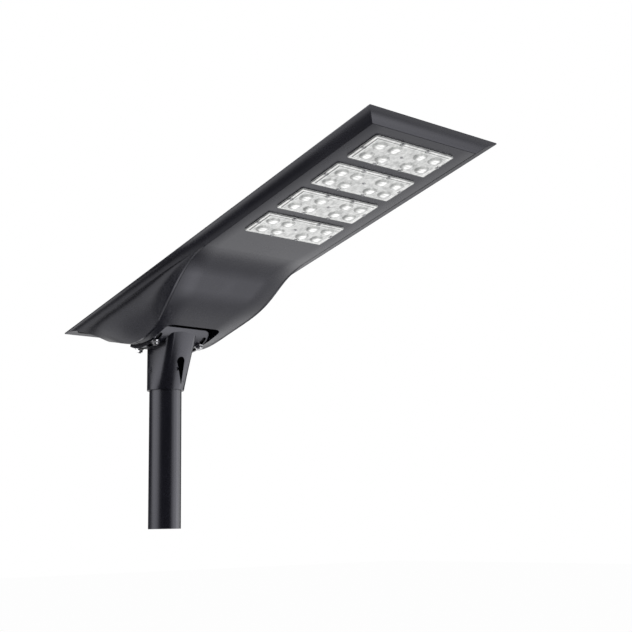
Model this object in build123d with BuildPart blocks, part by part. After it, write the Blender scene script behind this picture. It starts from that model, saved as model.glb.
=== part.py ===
"""All-in-one solar street lamp: a tilted head with panel, battery and LED modules on a cradle bracket.

Millimetres and degrees. +Z runs up the pole, +X points along the head's reach, +Y lies across it.
The origin is the centre of the pole's lower end. Sizes of head parts are given in the head's own
frame: x along the head from the pole axis, y across, z up from the panel side.
"""
from build123d import *
from math import cos, radians, sin
import os

os.makedirs("parts", exist_ok=True)

# ---------------------------------------------------------------- driving dimensions
pole_radius = 30.0
pole_wall = 3.0
pole_bare_length = 254.5
pole_insertion = 60.0

head_tilt = 12.5
panel_height = 408.0
head_width = 262.0
head_rear = -157.5
head_front = 735.0
lip_thickness = 2.0
cove_width = 24.0
led_plane = -11.0
slope_start = 292.0
cast_wall = 3.5
seam_gap = 0.9
floor_top = -4.6
floor_under = -6.2

module_length = 160.5
module_width = 67.6
module_pitch = 86.0
module_first = 656.6
module_count = 4

tilt_axis_height = 424.0
cradle_inner_radius = 89.0
cradle_thickness = 4.0
cradle_half_width = 56.0
cradle_rear_angle = -30.0
cradle_front_angle = 49.0
cradle_corner = 16.0
tilt_travel = 12.5
bolt_angles = (12.0, -22.0)
bolt_offset = 48.0
bolt_radius = 3.9
slot_radius = 4.4
saddle_clearance = 0.3

window_rear = -84.0
window_front = 88.0
window_half_width = 58.0
window_wall = 2.5
window_corner = 13.0
pad_under = -12.0

panel_length = 854.0
panel_width = 224.0
glass_thickness = 3.2
cell_rows = 3
cell_columns = 12
cell_gap = 1.6

socket_radius = 34.4
socket_bore_radius = 30.1
set_screw_height = 290.5
set_screw_radius = 3.0

saddle_screw_places = [(-38.0, 0.0), (34.0, 0.0), (-38.0, 45.0), (34.0, 45.0), (-38.0, -45.0), (34.0, -45.0)]
saddle_screw_radius = 3.0
saddle_head_radius = 5.2
saddle_head_depth = 3.2
lens_screw_places = [(dx, dy) for dx in (-31.3, 31.3) for dy in (-26.0, 26.0)]
lens_screw_places += [(0.0, -77.6), (0.0, 77.6), (0.0, 0.0)]
lens_screw_radius = 1.2
lens_screw_head_radius = 2.1
switch_barrel_radius = 5.0

cell_radius = 16.2
cell_length = 70.0
battery_columns = (110.0, 144.0)
battery_centre_z = -25.2
switch_z = -17.5
boss_radius = 7.0
boss_outer = -119.6
lead_hole_radius = 5.0
panel_lead_place = (212.0, 0.0)
lead_y = 12.0

# ---------------------------------------------------------------- reference planes
half_width = head_width / 2
head_x = Vector(cos(radians(head_tilt)), 0, sin(radians(head_tilt)))
head_z = Vector(-sin(radians(head_tilt)), 0, cos(radians(head_tilt)))
head_origin = Vector(0, 0, panel_height)


def deck(z):
    """Plane parallel to the panel at height z in the head's frame."""
    return Plane(origin=head_origin + head_z * z, x_dir=head_x, z_dir=head_z)


def station(x):
    """Cross-section plane of the head: local x is across, local y is up."""
    return Plane(origin=head_origin + head_x * x, x_dir=(0, 1, 0), z_dir=head_x)


def side_view(y=0.0):
    """Lengthwise plane of the head: local x is along, local y is up."""
    return Plane(origin=head_origin + Vector(0, y, 0), x_dir=head_x, z_dir=(0, -1, 0))


def save(builder, label):
    """Name a finished sub-part and write its STEP file."""
    builder.part.label = label
    export_step(builder.part, f"parts/{label}.step")


# ---------------------------------------------------------------- the head's outer form
# Underside on the centre line, from the LED plane down the slope, along the hull and up to its back.
keel = [(slope_start, led_plane), (230.0, -21.5), (170.0, -47.0), (110.0, -63.5), (30.0, -73.5),
        (-20.0, -67.0), (-75.0, -44.0), (-114.0, -27.5)]
back_wall = [keel[-1], (-121.5, -10.5), (head_rear, -lip_thickness)]

# Cross-sections: x, cove's inner edge y and z, hip y and z, and the side wall's angle at the hip.
hull_stations = [
    (slope_start, 107.0, -11.0, 106.8, -14.0, 88.0),
    (250.0, 110.5, -10.2, 108.6, -18.0, 86.0),
    (200.0, 113.0, -9.2, 106.0, -37.0, 82.0),
    (140.0, 114.0, -8.8, 96.5, -59.0, 78.0),
    (80.0, 114.5, -8.6, 81.0, -71.0, 72.0),
    (20.0, 115.0, -8.5, 75.0, -76.0, 66.0),
    (-30.0, 115.5, -8.6, 72.0, -66.0, 50.0),
    (-75.0, 115.5, -8.8, 66.0, -46.5, 28.0),
    (-114.0, 115.5, -9.0, 54.0, -29.0, 9.0),
    (head_rear - 5, 115.5, -9.2, 40.0, -15.0, 5.0),
]
trim_depth = -110.0
overlap = 5.0
cove_run_angle = 8.0


def keel_outline(rise, front, back):
    """Side view of the head down to its keel line, lifted by rise."""
    with BuildSketch(side_view()) as outline:
        with BuildLine():
            start = (front, rise - lip_thickness)
            crease = (front - cove_width, led_plane + rise)
            points = [(x, z + rise) for x, z in keel]
            wall = [(x + back, z + rise) for x, z in back_wall]
            points[-1] = wall[0]
            Line((wall[-1][0], rise), (front, rise))
            Line((front, rise), start)
            TangentArc(start, crease, tangent=(-1, 0))
            Line(crease, points[0])
            Spline(*points, tangents=((-1, 0), (-1, 0.43)))
            Spline(*wall, tangents=((-0.1, 1), (-1, 0)))
            Line(wall[-1], (wall[-1][0], rise))
        make_face()
    return outline.sketch


def hull_section(x, cove_y, cove_z, hip_y, hip_z, hip_angle, inset, rise):
    """Cross-section of the wing and hull at one station, running down past the keel."""
    edge = half_width - inset
    with BuildSketch(station(x)) as section:
        with BuildLine():
            for side in (1, -1):
                rim = (side * edge, -lip_thickness + rise)
                cove = (side * (cove_y - inset), cove_z + rise)
                hip = (side * (hip_y - inset), hip_z)
                Line((side * edge, overlap), rim)
                TangentArc(rim, cove, tangent=(-side, 0))
                Spline(cove, hip,
                       tangents=((-side * cos(radians(cove_run_angle)), -sin(radians(cove_run_angle))),
                                 (-side * cos(radians(hip_angle)), -sin(radians(hip_angle)))))
                Line(hip, (side * (hip_y - inset), trim_depth))
            Line((edge, overlap), (-edge, overlap))
            first_hip = hip_y - inset
            Line((first_hip, trim_depth), (-first_hip, trim_depth))
        make_face()
    return section.sketch


def wing_body(inset, rise):
    """Flared wing and tapering hull, still open below the keel line."""
    with BuildPart() as body:
        loft([hull_section(*row, inset, rise) for row in hull_stations])
        extrude(hull_section(*hull_stations[0], inset, rise), amount=head_front + overlap - slope_start)
    return body.part


# Plan of the opening under the head: the LED bay, narrowing with the hull towards the back.
hull_back = -110.5
plan_edge = [(slope_start, 107.0), (250.0, 105.2), (200.0, 102.5), (140.0, 93.5), (80.0, 79.0),
             (20.0, 72.0), (-30.0, 68.5), (-75.0, 62.8), (hull_back, 52.0)]


def bay_plan(z, gap):
    """Plan of the bay that the lower casting closes, on the deck plane at z."""
    with BuildSketch(deck(z)) as plan:
        with BuildLine():
            front = head_front - cove_width - gap
            for side in (1, -1):
                edge = [(x, side * (y - gap)) for x, y in plan_edge]
                edge[-1] = (hull_back + gap, edge[-1][1])
                Line((front, edge[0][1]), edge[0])
                Spline(*edge, tangents=((-1, 0), (-1, -side * 0.42)))
            wide = plan_edge[0][1] - gap
            Line((front, wide), (front, -wide))
            narrow = plan_edge[-1][1] - gap
            Line((hull_back + gap, narrow), (hull_back + gap, -narrow))
        make_face()
    return plan.sketch


def rectangle(z, x0, x1, half, corner=0.0, y=0.0):
    """Rectangle from x0 to x1, half wide each side of y, on the deck plane at z."""
    with BuildSketch(deck(z)) as shape:
        with Locations(((x0 + x1) / 2, y)):
            if corner:
                RectangleRounded(x1 - x0, 2 * half, corner)
            else:
                Rectangle(x1 - x0, 2 * half)
    return shape.sketch


# ---------------------------------------------------------------- head castings
panel_x0 = (head_rear + head_front - panel_length) / 2
panel_x1 = panel_x0 + panel_length
panel_half = panel_width / 2
seal_width = 2.0
module_centres = [module_first - index * module_pitch for index in range(module_count)]

outer_wing = wing_body(0.0, 0.0)
inner_wing = wing_body(cast_wall, 3.0)

with BuildPart() as outer_form:
    extrude(keel_outline(0.0, head_front, 0.0), amount=half_width + overlap, both=True)
    add(outer_wing, mode=Mode.INTERSECT)

with BuildPart() as cavity:
    extrude(keel_outline(cast_wall, head_front, cast_wall), amount=half_width + overlap, both=True)
    add(inner_wing, mode=Mode.INTERSECT)
    extrude(rectangle(floor_under, hull_back, slope_start, half_width), amount=-90, mode=Mode.INTERSECT)

# Screws that hold the two castings together, driven from under the panel.
casting_screw_places = [(x, side * 100.5) for x in (320.0, 442.0, 527.0, 613.0, 698.0) for side in (1, -1)]
casting_screw_places += [(698.0, 0.0), (342.0, 0.0)]
casting_screw_radius = 2.0
casting_head_radius = 3.6
casting_head_depth = 1.3
casting_screw_end = -10.2

module_recess_depth = 2.5
module_recess_inset = 7.5
module_corner = 5.0

with BuildPart() as upper_shell:
    add(outer_form.part)
    add(cavity.part, mode=Mode.SUBTRACT)
    extrude(bay_plan(floor_under, 0.0), amount=-100, mode=Mode.SUBTRACT)
    panel_recess = rectangle(0, panel_x0 - seal_width, panel_x1 + seal_width, panel_half + seal_width, 4)
    extrude(panel_recess, amount=floor_top, mode=Mode.SUBTRACT)
    ceiling_pad = rectangle(floor_under, window_rear - window_wall, window_front + window_wall,
                            window_half_width + window_wall)
    extrude(ceiling_pad, amount=pad_under - floor_under)
    with BuildSketch(station(boss_outer)):
        with Locations((0, switch_z)):
            Circle(boss_radius)
    extrude(amount=hull_back - boss_outer)
    with BuildSketch(station(hull_back + 1)):
        with Locations((0, switch_z)):
            Circle(switch_barrel_radius + 0.1)
    extrude(amount=-60, mode=Mode.SUBTRACT)
    with BuildSketch(station(boss_outer)):
        with Locations((0, switch_z)):
            Circle(boss_radius)
    extrude(amount=-12, mode=Mode.SUBTRACT)
    with BuildSketch(deck(floor_top)):
        with Locations(panel_lead_place):
            Circle(lead_hole_radius)
    extrude(amount=floor_under - floor_top, mode=Mode.SUBTRACT)
    with BuildSketch(deck(floor_top)):
        with Locations(casting_screw_places):
            Circle(casting_head_radius + 0.1)
    extrude(amount=-casting_head_depth, mode=Mode.SUBTRACT)
    with BuildSketch(deck(floor_top)):
        with Locations(casting_screw_places):
            Circle(casting_screw_radius + 0.1)
    extrude(amount=-5, mode=Mode.SUBTRACT)
    with BuildSketch(deck(floor_top)):
        with Locations(saddle_screw_places):
            Circle(saddle_head_radius + 0.1)
    extrude(amount=-saddle_head_depth, mode=Mode.SUBTRACT)
    with BuildSketch(deck(floor_top)):
        with Locations(saddle_screw_places):
            Circle(saddle_screw_radius + 0.1)
    extrude(amount=-20, mode=Mode.SUBTRACT)
save(upper_shell, "upper_shell")

with BuildPart() as lower_casting:
    extrude(keel_outline(0.0, head_front, 0.0), amount=half_width, both=True)
    extrude(bay_plan(floor_under, seam_gap), amount=-100, mode=Mode.INTERSECT)
    extrude(keel_outline(cast_wall, head_front + 10, cast_wall - 6), amount=half_width, both=True,
            mode=Mode.SUBTRACT)
    window = rectangle(pad_under, window_rear, window_front, window_half_width, window_corner)
    extrude(window, amount=-90, mode=Mode.SUBTRACT)
    for centre in module_centres:
        half_length = module_length / 2 - module_recess_inset
        half_breadth = module_width / 2 - module_recess_inset
        recess = rectangle(led_plane, centre - half_breadth, centre + half_breadth, half_length, 3)
        extrude(recess, amount=module_recess_depth, mode=Mode.SUBTRACT)
    with BuildSketch(deck(floor_under)):
        with Locations(casting_screw_places):
            Circle(casting_screw_radius)
    extrude(amount=casting_screw_end - floor_under, mode=Mode.SUBTRACT)
    with BuildSketch(deck(led_plane)):
        for centre in module_centres:
            with Locations([(centre + dx, dy) for dx, dy in lens_screw_places]):
                Circle(lens_screw_radius)
    extrude(amount=2.6, mode=Mode.SUBTRACT)
    for centre in module_centres:
        extrude(rectangle(led_plane, centre - 2.5, centre + 2.5, 2.5, y=lead_y), amount=6, mode=Mode.SUBTRACT)

# Skirt round the bracket window, from the shell's ceiling pad down to the keel skin.
with BuildPart() as window_skirt:
    extrude(keel_outline(0.0, head_front, 0.0), amount=half_width, both=True)
    outside = rectangle(pad_under - 0.3, window_rear - window_wall, window_front + window_wall,
                        window_half_width + window_wall, window_corner + window_wall)
    extrude(outside, amount=-90, mode=Mode.INTERSECT)
    extrude(window, amount=-90, mode=Mode.SUBTRACT)

with BuildPart() as lower_casting_with_skirt:
    add(lower_casting.part)
    add(window_skirt.part)
save(lower_casting_with_skirt, "lower_casting")

# ---------------------------------------------------------------- solar panel
glass_top = -0.3
glass_under = glass_top - glass_thickness
cell_thickness = 0.3
backsheet_thickness = 0.3
tape_width = 9.0

with BuildPart() as solar_glass:
    extrude(rectangle(glass_top, panel_x0, panel_x1, panel_half, 2), amount=-glass_thickness)
    chamfer(solar_glass.faces().sort_by(Axis((0, 0, 0), head_z))[-1].edges(), 0.6)
save(solar_glass, "solar_glass")

cell_pitch_x = (panel_length - 8) / cell_columns
cell_pitch_y = (panel_width - 8) / cell_rows
with BuildPart() as solar_cells:
    with BuildSketch(deck(glass_under)):
        with Locations(((panel_x0 + panel_x1) / 2, 0)):
            with GridLocations(cell_pitch_x, cell_pitch_y, cell_columns, cell_rows):
                Rectangle(cell_pitch_x - cell_gap, cell_pitch_y - cell_gap)
    extrude(amount=-cell_thickness)
save(solar_cells, "solar_cells")

sheet_top = glass_under - cell_thickness
sheet_under = sheet_top - backsheet_thickness
with BuildPart() as panel_backsheet:
    extrude(rectangle(sheet_top, panel_x0 + 1, panel_x1 - 1, panel_half - 1, 2), amount=-backsheet_thickness)
save(panel_backsheet, "panel_backsheet")

with BuildPart() as panel_tape:
    tape_outer = rectangle(sheet_under, panel_x0 + 1, panel_x1 - 1, panel_half - 1, 2)
    extrude(tape_outer, amount=floor_top - sheet_under)
    tape_inner = rectangle(sheet_under, panel_x0 + tape_width, panel_x1 - tape_width,
                           panel_half - tape_width, 2)
    extrude(tape_inner, amount=floor_top - sheet_under, mode=Mode.SUBTRACT)
save(panel_tape, "panel_tape")

with BuildPart() as panel_seal:
    seal_outer = rectangle(glass_top - 0.4, panel_x0 - seal_width, panel_x1 + seal_width,
                           panel_half + seal_width, 4)
    extrude(seal_outer, amount=floor_top - glass_top + 0.4)
    seal_inner = rectangle(glass_top, panel_x0, panel_x1, panel_half, 2)
    extrude(seal_inner, amount=floor_top - glass_top, mode=Mode.SUBTRACT)
save(panel_seal, "panel_seal")

# ---------------------------------------------------------------- LED modules
gasket_thickness = 0.6
lens_thickness = 1.6
lens_plateau = 1.0
plateau_inset_x = 4.6
plateau_inset_y = 6.0
notch_radius = 4.0
board_top = led_plane + module_recess_depth
board_thickness = 1.2
chip_size = 3.5
chip_thickness = 0.8
lens_top = led_plane - gasket_thickness
dome_places = [(dx, dy) for dx in (-14.5, 14.5) for dy in (-57.0, -26.0, 26.0, 57.0)]
dome_length = 25.0
dome_breadth = 22.0
dome_height = 3.2
dome_corner = 9.0
dome_taper = 32.0
plateau_corner = 3.0
lens_screw_head_height = 1.2
lens_screw_bite = 2.4


def lens_plateau_plan(centre, screws):
    """Raised middle of a lens plate, notched round its screws."""
    half_length = module_length / 2 - plateau_inset_y
    half_breadth = module_width / 2 - plateau_inset_x
    with BuildSketch(deck(lens_top - lens_thickness)) as plan:
        with Locations((centre, 0)):
            RectangleRounded(2 * half_breadth, 2 * half_length, plateau_corner)
        with Locations(screws):
            Circle(notch_radius, mode=Mode.SUBTRACT)
    return plan.sketch


def led_module(number, centre):
    """One module: gasket, board, emitters and lens plate, facing down from the LED plane."""
    half_length = module_length / 2
    half_breadth = module_width / 2
    places = [(centre + dx, dy) for dx, dy in dome_places]
    screws = [(centre + dx, dy) for dx, dy in lens_screw_places]

    with BuildPart() as gasket:
        extrude(rectangle(led_plane, centre - half_breadth, centre + half_breadth, half_length, module_corner),
                amount=-gasket_thickness)
        inner = module_recess_inset
        extrude(rectangle(led_plane, centre - half_breadth + inner, centre + half_breadth - inner,
                          half_length - inner, 3), amount=-gasket_thickness, mode=Mode.SUBTRACT)
        with BuildSketch(deck(led_plane)):
            with Locations(screws):
                Circle(lens_screw_radius + 0.1)
        extrude(amount=-gasket_thickness, mode=Mode.SUBTRACT)
    save(gasket, f"led_gasket_{number}")

    with BuildPart() as board:
        margin = module_recess_inset + 0.5
        extrude(rectangle(board_top, centre - half_breadth + margin, centre + half_breadth - margin,
                          half_length - margin, 2.5), amount=-board_thickness)
        with BuildSketch(deck(board_top)):
            with Locations((centre, 0)):
                Circle(lens_screw_radius + 0.1)
        extrude(amount=-board_thickness, mode=Mode.SUBTRACT)
    save(board, f"led_board_{number}")

    with BuildPart() as chips:
        with BuildSketch(deck(board_top - board_thickness)):
            with Locations(places):
                Rectangle(chip_size, chip_size)
        extrude(amount=-chip_thickness)
    save(chips, f"led_chips_{number}")

    with BuildPart() as lens:
        extrude(rectangle(lens_top, centre - half_breadth, centre + half_breadth, half_length, module_corner),
                amount=-lens_thickness)
        with BuildSketch(deck(lens_top)):
            with Locations(screws):
                Circle(lens_screw_radius + 0.1)
        extrude(amount=-lens_thickness, mode=Mode.SUBTRACT)
        extrude(lens_plateau_plan(centre, screws), amount=-lens_plateau)
        with BuildSketch(deck(lens_top - lens_thickness - lens_plateau)):
            with Locations(places):
                RectangleRounded(dome_breadth, dome_length, dome_corner)
        extrude(amount=-dome_height, taper=dome_taper)
    save(lens, f"led_lens_{number}")


for index, centre in enumerate(module_centres):
    led_module(index + 1, centre)

with BuildPart() as lens_screws:
    for centre in module_centres:
        places = [(centre + dx, dy) for dx, dy in lens_screw_places]
        with BuildSketch(deck(lens_top - lens_thickness)):
            with Locations(places):
                Circle(lens_screw_head_radius)
        extrude(amount=-lens_screw_head_height)
        with BuildSketch(deck(lens_top - lens_thickness)):
            with Locations(places):
                Circle(lens_screw_radius)
        extrude(amount=lens_thickness + gasket_thickness + lens_screw_bite)
save(lens_screws, "lens_screws")

with BuildPart() as casting_screws:
    with BuildSketch(deck(floor_top)):
        with Locations(casting_screw_places):
            Circle(casting_head_radius)
    extrude(amount=-casting_head_depth)
    with BuildSketch(deck(floor_top - casting_head_depth)):
        with Locations(casting_screw_places):
            Circle(casting_screw_radius)
    extrude(amount=casting_screw_end - floor_top + casting_head_depth + 0.1)
save(casting_screws, "casting_screws")

# ---------------------------------------------------------------- tilt saddle and its clamp bolts
tilt_x = (tilt_axis_height - panel_height) * sin(radians(head_tilt))
tilt_z = (tilt_axis_height - panel_height) * cos(radians(head_tilt))
saddle_radius = cradle_inner_radius - saddle_clearance
saddle_rear_angle = -37.0
saddle_front_angle = 28.0
saddle_half_width = 54.0
saddle_wall = 9.0
thread_depth = 22.0


def arc_point(radius, angle):
    """Point on an arc about the tilt axis, at an angle forward from the head's own downward line."""
    return (tilt_x + radius * sin(radians(angle)), tilt_z - radius * cos(radians(angle)))


def saddle_profile(radius, rear_angle, front_angle):
    """Side view of a block under the ceiling pad whose underside is an arc about the tilt axis."""
    rear = arc_point(radius, rear_angle)
    front = arc_point(radius, front_angle)
    with BuildSketch(side_view()) as profile:
        with BuildLine():
            ThreePointArc(rear, arc_point(radius, (rear_angle + front_angle) / 2), front)
            Line(front, (front[0], pad_under))
            Line((front[0], pad_under), (rear[0], pad_under))
            Line((rear[0], pad_under), rear)
        make_face()
    return profile.sketch


def clamp_plane(angle, radius, offset):
    """Plane square to a clamp bolt, facing down and out of the head."""
    turn = radians(angle + head_tilt)
    outward = Vector(sin(turn), 0, -cos(turn))
    return Plane(origin=Vector(0, offset, tilt_axis_height) + outward * radius, x_dir=(0, 1, 0), z_dir=outward)


clamp_places = [(angle, side * bolt_offset) for angle in bolt_angles for side in (1, -1)]
pocket_rear_angle = -29.0
pocket_front_angle = 20.0
pocket_offset = 21.5
pocket_half_width = 14.0
saddle_thread_depth = 14.0
saddle_screw_reach = 13.0
stud_gap = 2.0

with BuildPart() as tilt_saddle:
    extrude(saddle_profile(saddle_radius, saddle_rear_angle, saddle_front_angle), amount=saddle_half_width,
            both=True)
    hollow = saddle_profile(saddle_radius - saddle_wall, pocket_rear_angle, pocket_front_angle)
    for side in (1, -1):
        extrude(hollow.moved(Location((0, side * pocket_offset, 0))), amount=pocket_half_width, both=True,
                mode=Mode.SUBTRACT)
    for angle, offset in clamp_places:
        with BuildSketch(clamp_plane(angle, saddle_radius, offset)):
            Circle(bolt_radius + 0.1)
        extrude(amount=-thread_depth, mode=Mode.SUBTRACT)
    with BuildSketch(deck(pad_under)):
        with Locations(saddle_screw_places):
            Circle(saddle_screw_radius)
    extrude(amount=-saddle_thread_depth, mode=Mode.SUBTRACT)
save(tilt_saddle, "tilt_saddle")

with BuildPart() as saddle_screws:
    with BuildSketch(deck(floor_top)):
        with Locations(saddle_screw_places):
            Circle(saddle_head_radius)
    extrude(amount=-saddle_head_depth)
    with BuildSketch(deck(floor_top - saddle_head_depth)):
        with Locations(saddle_screw_places):
            Circle(saddle_screw_radius)
    extrude(amount=pad_under - floor_top + saddle_head_depth - saddle_screw_reach)
save(saddle_screws, "saddle_screws")

cradle_outer_radius = cradle_inner_radius + cradle_thickness
washer_inner = cradle_outer_radius + saddle_clearance
washer_thickness = 1.4
spring_washer_thickness = 1.2
nut_height = 3.6
nut_across_flats = 12.5
stud_tip = 1.9
flat_washer_radius = 8.0
spring_washer_radius = 6.3
spring_washer_split = (5.5, 4.0, 0.9)
washer_play = 0.2

with BuildPart() as flat_washers:
    for angle, offset in clamp_places:
        with BuildSketch(clamp_plane(angle, washer_inner, offset)):
            Circle(flat_washer_radius)
            Circle(bolt_radius + washer_play, mode=Mode.SUBTRACT)
        extrude(amount=washer_thickness)
save(flat_washers, "flat_washers")

with BuildPart() as spring_washers:
    for angle, offset in clamp_places:
        with BuildSketch(clamp_plane(angle, washer_inner + washer_thickness, offset)):
            Circle(spring_washer_radius)
            Circle(bolt_radius + washer_play, mode=Mode.SUBTRACT)
            split_place, split_length, split_width = spring_washer_split
            with Locations((split_place, 0)):
                Rectangle(split_length, split_width, mode=Mode.SUBTRACT)
        extrude(amount=spring_washer_thickness)
save(spring_washers, "spring_washers")

nut_start = washer_inner + washer_thickness + spring_washer_thickness
with BuildPart() as clamp_nuts:
    for angle, offset in clamp_places:
        with BuildSketch(clamp_plane(angle, nut_start, offset)):
            RegularPolygon(nut_across_flats / 2, 6, major_radius=False)
            Circle(bolt_radius, mode=Mode.SUBTRACT)
        extrude(amount=nut_height)
save(clamp_nuts, "clamp_nuts")

with BuildPart() as clamp_studs:
    for angle, offset in clamp_places:
        with BuildSketch(clamp_plane(angle, nut_start + nut_height + stud_tip, offset)):
            Circle(bolt_radius)
        extrude(amount=-(nut_start + nut_height + stud_tip - saddle_radius + thread_depth - stud_gap))
save(clamp_studs, "clamp_studs")

# ---------------------------------------------------------------- bracket on the pole
# Sleeve outlines at its mouth and at its top: side, corner and face points, then the nose's tip.
socket_mouth = ((21.2, 27.1), (26.4, 22.1), (30.4, 16.1), socket_radius)
socket_top = ((54.0, 32.8), (63.0, 29.2), (66.6, 20.0), 67.8)
socket_top_height = 366.7
nose_slope = (socket_top[3] - socket_mouth[3]) / (socket_top_height - pole_bare_length)
nose_wall = 3.5
sleeve_bite = 1.0
bore_relief = 1.5
slot_overrun = 2.0


def cradle_sector(inner, outer, rear_angle, front_angle):
    """Ring sector about the tilt axis, in the bracket's upright side view, as a face."""
    start = -90 + rear_angle
    sweep = front_angle - rear_angle
    centre = (0, tilt_axis_height)
    with BuildSketch(Plane.XZ) as sector:
        with BuildLine():
            low = CenterArc(centre, inner, start, sweep)
            high = CenterArc(centre, outer, start, sweep)
            Line(low @ 0, high @ 0)
            Line(low @ 1, high @ 1)
        make_face()
    return sector.sketch


def socket_section(height, outline):
    """Sleeve section: round at the back, with a blunt nose towards the front."""
    side, corner, face, tip = outline
    with BuildSketch(Plane.XY.offset(height)) as section:
        with BuildLine():
            ThreePointArc((0, socket_radius), (-socket_radius, 0), (0, -socket_radius))
            for flip in (1, -1):
                start = (0, flip * socket_radius)
                side_end = (side[0], flip * side[1])
                TangentArc(start, side_end, tangent=(1, 0))
                ThreePointArc(side_end, (corner[0], flip * corner[1]), (face[0], flip * face[1]))
            ThreePointArc((face[0], -face[1]), (tip, 0), face)
        make_face()
    return section.sketch


nose_cavity_back = 33.8
nose_cavity_half_width = 17.0
nose_cavity_low = 268.0
nose_cavity_high = 330.0
nose_cavity_rise = 6.0
teardrop_head = (1.9, 305.0)
teardrop_head_radius = 8.1
teardrop_tail = (10.8, 265.5)
teardrop_tail_radius = 0.9
set_screw_places = [((1, 0, 0), -3.2), ((0, 1, 0), 0.0), ((0, -1, 0), 0.0)]
set_screw_length = 3.2
set_screw_socket_depth = 2.0
set_screw_socket_flats = 3.0
spot_face_radius = 8.0
spot_face_plane = socket_radius - 0.7
beyond = 90.0


def nose_face(height):
    """How far the nose reaches forward at a height."""
    return socket_mouth[3] + nose_slope * (height - pole_bare_length)


def set_screw_plane(direction, offset):
    """Plane through the pole's axis, square to a set screw."""
    return Plane(origin=(0, offset, set_screw_height), x_dir=(0, 0, 1), z_dir=direction)


with BuildPart() as cradle:
    extrude(cradle_sector(cradle_inner_radius, cradle_outer_radius, cradle_rear_angle, cradle_front_angle),
            amount=cradle_half_width, both=True)
    corner_edges = cradle.edges().filter_by(lambda edge: abs(edge.length - cradle_thickness) < 0.01)
    fillet(corner_edges, cradle_corner)

with BuildPart() as mounting_bracket:
    loft([socket_section(pole_bare_length, socket_mouth), socket_section(socket_top_height, socket_top)])
    with BuildSketch(Plane.XZ):
        with Locations((0, tilt_axis_height)):
            Circle(cradle_outer_radius - sleeve_bite)
    extrude(amount=beyond, both=True, mode=Mode.SUBTRACT)
    add(cradle.part)
    with BuildSketch(Plane.XY.offset(pole_bare_length)):
        Circle(socket_bore_radius)
    extrude(amount=pole_insertion + bore_relief, mode=Mode.SUBTRACT)
    for angle in bolt_angles:
        middle = angle + head_tilt
        for side in (1, -1):
            slot = cradle_sector(cradle_inner_radius - slot_overrun, cradle_outer_radius + slot_overrun,
                                 middle - tilt_travel, middle + tilt_travel)
            extrude(slot.moved(Location((0, side * bolt_offset, 0))), amount=slot_radius, both=True,
                    mode=Mode.SUBTRACT)
            for end in (-tilt_travel, tilt_travel):
                start = clamp_plane(angle + end, cradle_inner_radius - slot_overrun, side * bolt_offset)
                with BuildSketch(start):
                    Circle(slot_radius)
                extrude(amount=cradle_thickness + 2 * slot_overrun, mode=Mode.SUBTRACT)
    with BuildSketch(Plane.YZ.offset(beyond)):
        with Locations(teardrop_head):
            Circle(teardrop_head_radius)
        with Locations(teardrop_tail):
            Circle(teardrop_tail_radius)
        make_hull()
    extrude(amount=nose_cavity_back - beyond, mode=Mode.SUBTRACT)
    with BuildSketch(Plane.XZ):
        with BuildLine():
            Polyline((nose_cavity_back, nose_cavity_low),
                     (nose_face(nose_cavity_low) - nose_wall, nose_cavity_low),
                     (nose_face(nose_cavity_high) - nose_wall, nose_cavity_high),
                     (nose_cavity_back, nose_cavity_high + nose_cavity_rise), close=True)
        make_face()
    extrude(amount=nose_cavity_half_width, both=True, mode=Mode.SUBTRACT)
    for direction, offset in set_screw_places:
        with BuildSketch(set_screw_plane(direction, offset)):
            Circle(set_screw_radius + 0.1)
        extrude(amount=beyond, mode=Mode.SUBTRACT)
    with BuildSketch(Plane.XZ.offset(spot_face_plane)):
        with Locations((0, set_screw_height)):
            Circle(spot_face_radius)
    extrude(amount=beyond, mode=Mode.SUBTRACT)
save(mounting_bracket, "mounting_bracket")

with BuildPart() as set_screws:
    for direction, offset in set_screw_places:
        start = set_screw_plane(direction, offset).offset(pole_radius + 0.2)
        with BuildSketch(start):
            Circle(set_screw_radius)
        extrude(amount=set_screw_length)
        with BuildSketch(start.offset(set_screw_length - set_screw_socket_depth)):
            RegularPolygon(set_screw_socket_flats / 2, 6, major_radius=False)
        extrude(amount=set_screw_socket_depth, mode=Mode.SUBTRACT)
save(set_screws, "set_screws")

with BuildPart() as pole_tube:
    with BuildSketch(Plane.XY):
        Circle(pole_radius)
        Circle(pole_radius - pole_wall, mode=Mode.SUBTRACT)
    extrude(amount=pole_bare_length + pole_insertion)
save(pole_tube, "pole_tube")

# ---------------------------------------------------------------- battery
strap_clearance = 0.2
strap_thickness = 1.5
strap_width = 10.0
strap_places = (-36.0, 36.0)
holder_rear = 91.0
holder_front = 163.0
holder_half_width = 73.0
holder_under = -24.0
cell_gap_y = 0.5


def cells_profile(growth):
    """Side view of the battery's two cell columns, each circle grown by growth."""
    with BuildSketch(side_view()) as profile:
        with Locations([(column, battery_centre_z) for column in battery_columns]):
            Circle(cell_radius + growth)
    return profile.sketch


def strap_profile(growth):
    """Side view of a band wrapped round both cell columns, grown by growth."""
    with BuildSketch(side_view()) as profile:
        with Locations([(column, battery_centre_z) for column in battery_columns]):
            Circle(cell_radius + growth)
        make_hull()
    return profile.sketch


def across(y):
    """Move a side view across the head."""
    return Location((0, y, 0))


with BuildPart() as battery_cells:
    for side in (1, -1):
        middle = side * (cell_gap_y + cell_length / 2)
        extrude(cells_profile(0).moved(across(middle)), amount=cell_length / 2, both=True)
save(battery_cells, "battery_cells")

with BuildPart() as battery_holder:
    extrude(rectangle(floor_under, holder_rear, holder_front, holder_half_width, 3),
            amount=holder_under - floor_under)
    extrude(cells_profile(0.3), amount=cell_length + 2 * cell_gap_y, both=True, mode=Mode.SUBTRACT)
save(battery_holder, "battery_holder")

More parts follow.
